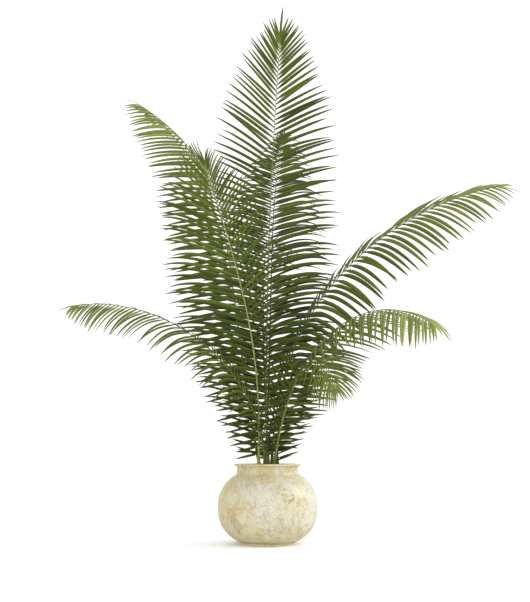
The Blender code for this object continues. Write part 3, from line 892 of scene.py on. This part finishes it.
def tube(pieces, rings, sides, slot=0):
    """A round tube through (centre, direction, radius) rings, closed at both ends."""
    rows = []
    along = 0.0
    across = UP.orthogonal()
    for index, (centre, direction, radius) in enumerate(rings):
        if index:
            along += (centre - rings[index - 1][0]).length
        across = (across - direction * across.dot(direction)).normalized()
        other = direction.cross(across)
        row = []
        for side in range(sides):
            angle = 2 * math.pi * side / sides
            spoke = across * math.cos(angle) + other * math.sin(angle)
            row.append((centre + spoke * radius, (along, side / sides)))
        rows.append(row)
    pieces.sheet(rows, slot, closed=True)
    pieces.fan(rings[0][0], [point for point, uv in rows[0]][::-1], slot)
    pieces.fan(rings[-1][0], [point for point, uv in rows[-1]], slot)


def build_sheaths(ribs, stalks):
    """Each frond's foot is wrapped in a sheath that swells towards the soil."""
    pieces = Pieces()
    for name, rib in ribs.items():
        foot = rib.place(0)
        base = Vector((foot.x * SHEATH_GATHER, foot.y * SHEATH_GATHER, SOIL_HEIGHT))
        rings = []
        for step in range(SHEATH_LOW_RINGS):
            share = step / SHEATH_LOW_RINGS
            radius = mix(SHEATH_FOOT, SHEATH_TOP, share)
            rings.append((base.lerp(foot, share), (foot - base).normalized(), radius))
        for step in range(SHEATH_RINGS + 1):
            share = SHEATH_REACH * step / SHEATH_RINGS
            radius = mix(SHEATH_TOP, rib.radius(share) * SHEATH_FIT, smooth(step / SHEATH_RINGS))
            rings.append((rib.place(share), rib.direction(share), radius))
        tube(pieces, rings, SHEATH_SIDES, FRONDS[name]["rib"])
    place_piece(pieces.make("sheaths", stalks), "stem", "stem")


def build_husks():
    """Stumps of old sheaths that stand in a ring round the fronds' feet."""
    chance = random.Random("husks")
    pieces = Pieces()
    for husk in range(HUSKS):
        angle = 2 * math.pi * (husk + chance.uniform(-HUSK_SHIFT, HUSK_SHIFT)) / HUSKS
        out = Vector((math.cos(angle), math.sin(angle), 0))
        foot = out * HUSK_FOOT + UP * SOIL_HEIGHT
        top = out * chance.uniform(*HUSK_TOP)
        top += UP * (STEM_HEIGHT - chance.uniform(0.0, HUSK_SHORTEST))
        line = (top - foot).normalized()
        rings = []
        for step in range(HUSK_RINGS + 1):
            share = step / HUSK_RINGS
            rings.append((foot.lerp(top, share), line, mix(*HUSK_RADIUS, share ** HUSK_TAPER)))
        tube(pieces, rings, HUSK_SIDES)
    place_piece(pieces.make("husks", [husk_material()]), "stem")


# --- The frond rule -----------------------------------------------------------------


class Midrib:
    """A frond's midrib: its places and directions by share of its length."""

    def __init__(self, frond):
        control = [Vector(frond[part]) for part in ("stalk", "shoulder", "tip")]
        foot = Vector((*frond["foot"], STEM_HEIGHT))
        lean = (control[0] - foot).angle(UP)
        foot.z += GAP + MIDRIB_FOOT_RADIUS * math.sin(lean)
        control.insert(0, foot)
        self.points = [self.bezier(control, step / MIDRIB_STEPS) for step in range(MIDRIB_STEPS + 1)]
        self.reach = [0.0]
        for here, there in zip(self.points, self.points[1:]):
            self.reach.append(self.reach[-1] + (there - here).length)
        self.length = self.reach[-1]

    @staticmethod
    def bezier(control, share):
        rest = 1 - share
        weights = (rest ** 3, 3 * rest ** 2 * share, 3 * rest * share ** 2, share ** 3)
        return sum((point * weight for point, weight in zip(control, weights)), Vector())

    def place(self, share):
        distance = min(max(share, 0), 1) * self.length
        step = 1
        while step < MIDRIB_STEPS and self.reach[step] < distance:
            step += 1
        start, end = self.reach[step - 1], self.reach[step]
        return self.points[step - 1].lerp(self.points[step], (distance - start) / (end - start))

    def direction(self, share):
        ahead = self.place(share + DIRECTION_REACH)
        behind = self.place(share - DIRECTION_REACH)
        return (ahead - behind).normalized()

    def radius(self, share):
        return mix(RIB_FOOT_RADIUS, RIB_TIP_RADIUS, min(1, max(0, share)) ** RIB_SLIMMING)


def blade_axes(frond, rib, share):
    """The midrib's direction, the blade's sideways direction and the one out of its face."""
    along = rib.direction(share)
    facing = math.radians(frond["facing"])
    across = Vector((math.cos(facing), math.sin(facing), 0)).cross(UP)
    across = (across - along * across.dot(along)).normalized()
    inner = across.cross(along)
    roll = math.radians(mix(*frond["roll"], share))
    wing = across * math.cos(roll) + inner * math.sin(roll)
    face = inner * math.cos(roll) - across * math.sin(roll)
    return along, wing, face


def growing(share):
    """Share of their full length and full bend that leaflets near the frond's foot have."""
    return mix(FOOT_LEAF, 1, math.sin(math.pi / 2 * min(1, share / FULL_SHARE)))


def leaf_length(frond, share, side):
    """Leaflets are short at the frond's foot, longest in its middle, shorter at its tip."""
    if side == 0:
        return frond["end"]
    longest = frond["leaf"][0 if side < 0 else 1]
    fading = max(0, (share - FADE_SHARE) / (1 - FADE_SHARE)) ** FADE_POWER
    return longest * growing(share) * mix(1, TIP_LEAF, fading)


def leaf_path(frond, rib, share, side, luck):
    """A leaflet's middle line, from inside the midrib to its tip, its width's direction
    and the way its upper face looks.

    Side is -1 or 1 for the left or the right row, and 0 for the leaflet that ends the frond.
    """
    along, wing, face = blade_axes(frond, rib, share)
    start = along
    if side:
        tip_spread, foot_spread = frond["spread"]
        spread = mix(tip_spread, foot_spread, (1 - share) ** SPREAD_POWER)
        spread = math.radians(spread + SPREAD_LUCK * luck[0])
        rise = math.radians(mix(*frond["rise"], share) + RISE_LUCK * luck[1])
        outward = wing * (side * math.cos(rise)) + face * math.sin(rise)
        start = along * math.cos(spread) + outward * math.sin(spread)
    droop = mix(*frond["droop"], share) * growing(share) ** 2
    droop *= (1 + side * frond["sag"]) * (1 + DROOP_LUCK * luck[2])
    below = (face * (frond["hang"] - 1) - UP * frond["hang"]).normalized()
    if side == 0:
        droop = END_DROOP
        below = -UP
    stride = leaf_length(frond, share, side) * (1 + LENGTH_LUCK * luck[3]) / LEAF_STEPS
    points = [rib.place(share)]
    for step in range(LEAF_STEPS):
        bend = droop * ((step + 0.5) / LEAF_STEPS) ** frond["curl"]
        points.append(points[-1] + (start + below * bend).normalized() * stride)
    return points, along if side else wing, face


def leaf_places(frond, side, chance):
    """Shares of the midrib where one row's leaflets stand, closer together towards the tip."""
    if side == 0:
        return [END_SHARE]
    pairs = frond["pairs"]
    places = []
    for pair in range(pairs):
        spot = pair + 0.5 + ROW_SHIFT * side + chance.gauss(0, PLACE_LUCK)
        places.append(mix(BARE_SHARE, 1, 1 - max(0, 1 - spot / pairs) ** frond["bunching"]))
    return places


def leaf_shape(share):
    """A leaflet's width by share of its length: a narrow neck, then a long point."""
    widening = mix(LEAF_NECK, 1, smooth(share / LEAF_FULL))
    return widening * (1 - share ** POINT_START) ** POINT_POWER


def add_leaflet(pieces, points, across, face, width, chance, slot):
    """Two narrow halves that fold down from a keel along the leaflet's path."""
    twist = chance.gauss(0, 1) * LEAF_TWIST
    lift = 1 if (points[1] - points[0]).cross(across).dot(face) > 0 else -1
    first_half = []
    second_half = []
    for step, point in enumerate(points):
        share = step / LEAF_STEPS
        ahead = points[min(step + 1, LEAF_STEPS)]
        behind = points[max(step - 1, 0)]
        line = (ahead - behind).normalized()
        across = (across - line * across.dot(line)).normalized()
        turned = Matrix.Rotation(twist * share, 3, line) @ across
        normal = line.cross(turned) * lift
        half = width / 2 * leaf_shape(share)
        out = turned * (half * math.cos(LEAF_FOLD))
        down = normal * (half * math.sin(LEAF_FOLD))
        length = share * LEAF_UV
        first_half.append([(point - out - down, (0.0, length)), (point, (0.5, length))])
        second_half.append([(point, (0.5, length)), (point + out - down, (1.0, length))])
    pieces.sheet(first_half, slot)
    pieces.sheet(second_half, slot)


def leaf_slot(frond, share, chance):
    """Which green a leaflet takes: paler towards the tip, and a little by chance."""
    tint = mix(*frond["tint"], share ** TINT_POWER) + chance.gauss(0, TINT_LUCK)
    return min(len(GREENS) - 1, max(0, int(tint * len(GREENS))))


def build_leaflets(name, frond, rib, materials):
    chance = random.Random(name + " fine")
    pieces = Pieces()
    for side in (-1, 1, 0):
        for share in leaf_places(frond, side, chance):
            luck = [chance.gauss(0, 1) for draw in range(4)]
            points, across, face = leaf_path(frond, rib, share, side, luck)
            fullness = leaf_length(frond, share, side) / max(frond["leaf"])
            width = frond["width"] * mix(NARROWEST, 1, fullness)
            slot = leaf_slot(frond, share, chance)
            add_leaflet(pieces, points, across, face, width, chance, slot)
    place_piece(pieces.make(name + "_leaflets", materials), "frond", *frond["nodes"])


def build_midrib(name, frond, rib, material):
    """Rounded below and flattened with a shallow groove above, thin at the tip."""
    pieces = Pieces()
    rows = []
    for ring in range(MIDRIB_RINGS + 1):
        share = ring / MIDRIB_RINGS
        centre = rib.place(share)
        wing, face = blade_axes(frond, rib, share)[1:]
        radius = rib.radius(share)
        row = []
        for side in range(MIDRIB_SIDES):
            angle = 2 * math.pi * side / MIDRIB_SIDES
            over = math.sin(angle)
            groove = GROOVE_DEPTH * over ** GROOVE_POWER
            lift = over if over < 0 else MIDRIB_UPPER * over * (1 - groove)
            offset = wing * math.cos(angle) + face * lift
            row.append((centre + offset * radius, (share * rib.length, side / MIDRIB_SIDES)))
        rows.append(row)
    pieces.sheet(rows, closed=True)
    pieces.fan(rib.place(0), [point for point, uv in rows[0]][::-1])
    pieces.fan(rib.place(1), [point for point, uv in rows[-1]])
    place_piece(pieces.make(name + "_midrib", [material]), "frond", *frond["nodes"])


# --- Stage ---------------------------------------------------------------------------


def build_floor():
    pieces = Pieces()
    rows = []
    for y in (-1, 1):
        rows.append([(Vector((x * FLOOR_HALF, y * FLOOR_HALF, 0)), (x, y)) for x in (-1, 1)])
    pieces.sheet(rows)
    floor = pieces.make("floor", [floor_material()])


def build_lights():
    world = bpy.data.worlds.new("studio")
    world.use_nodes = True
    background = world.node_tree.nodes["Background"]
    background.inputs["Color"].default_value = (1.0, 1.0, 1.0, 1)
    background.inputs["Strength"].default_value = WORLD_LIGHT
    bpy.context.scene.world = world
    for name, place, size, power, color in LAMPS:
        light = bpy.data.lights.new(name, "AREA")
        light.size = size
        light.energy = power
        light.color = color
        item = bpy.data.objects.new(name, light)
        item.location = place
        item.rotation_euler = (LAMPS_AIM - item.location).to_track_quat("-Z", "Y").to_euler()
        bpy.context.scene.collection.objects.link(item)


def build_camera():
    data = bpy.data.cameras.new("camera")
    data.lens = LENS
    camera = bpy.data.objects.new("camera", data)
    camera.location = EYE
    camera.rotation_euler = (math.radians(90 + EYE_PITCH), 0, 0)
    bpy.context.scene.collection.objects.link(camera)
    bpy.context.scene.camera = camera


def main():
    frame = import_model()
    bpy.context.scene.view_settings.view_transform = "Standard"
    build_camera()
    build_lights()
    build_floor()

    build_pot()
    earth = soil_material()
    frame["nodes"]["soil"].data.materials.clear()
    frame["nodes"]["soil"].data.materials.append(earth)
    build_soil(earth)
    ribs = {name: Midrib(frond) for name, frond in FRONDS.items()}
    build_husks()
    greens = [leaf_material("leaf_" + str(level), green) for level, green in enumerate(GREENS)]
    stalks = [stalk_material("midrib_" + str(level), green) for level, green in enumerate(RIBS)]
    build_sheaths(ribs, stalks)
    for name, frond in FRONDS.items():
        build_leaflets(name, frond, ribs[name], greens)
        build_midrib(name, frond, ribs[name], stalks[frond["rib"]])


main()
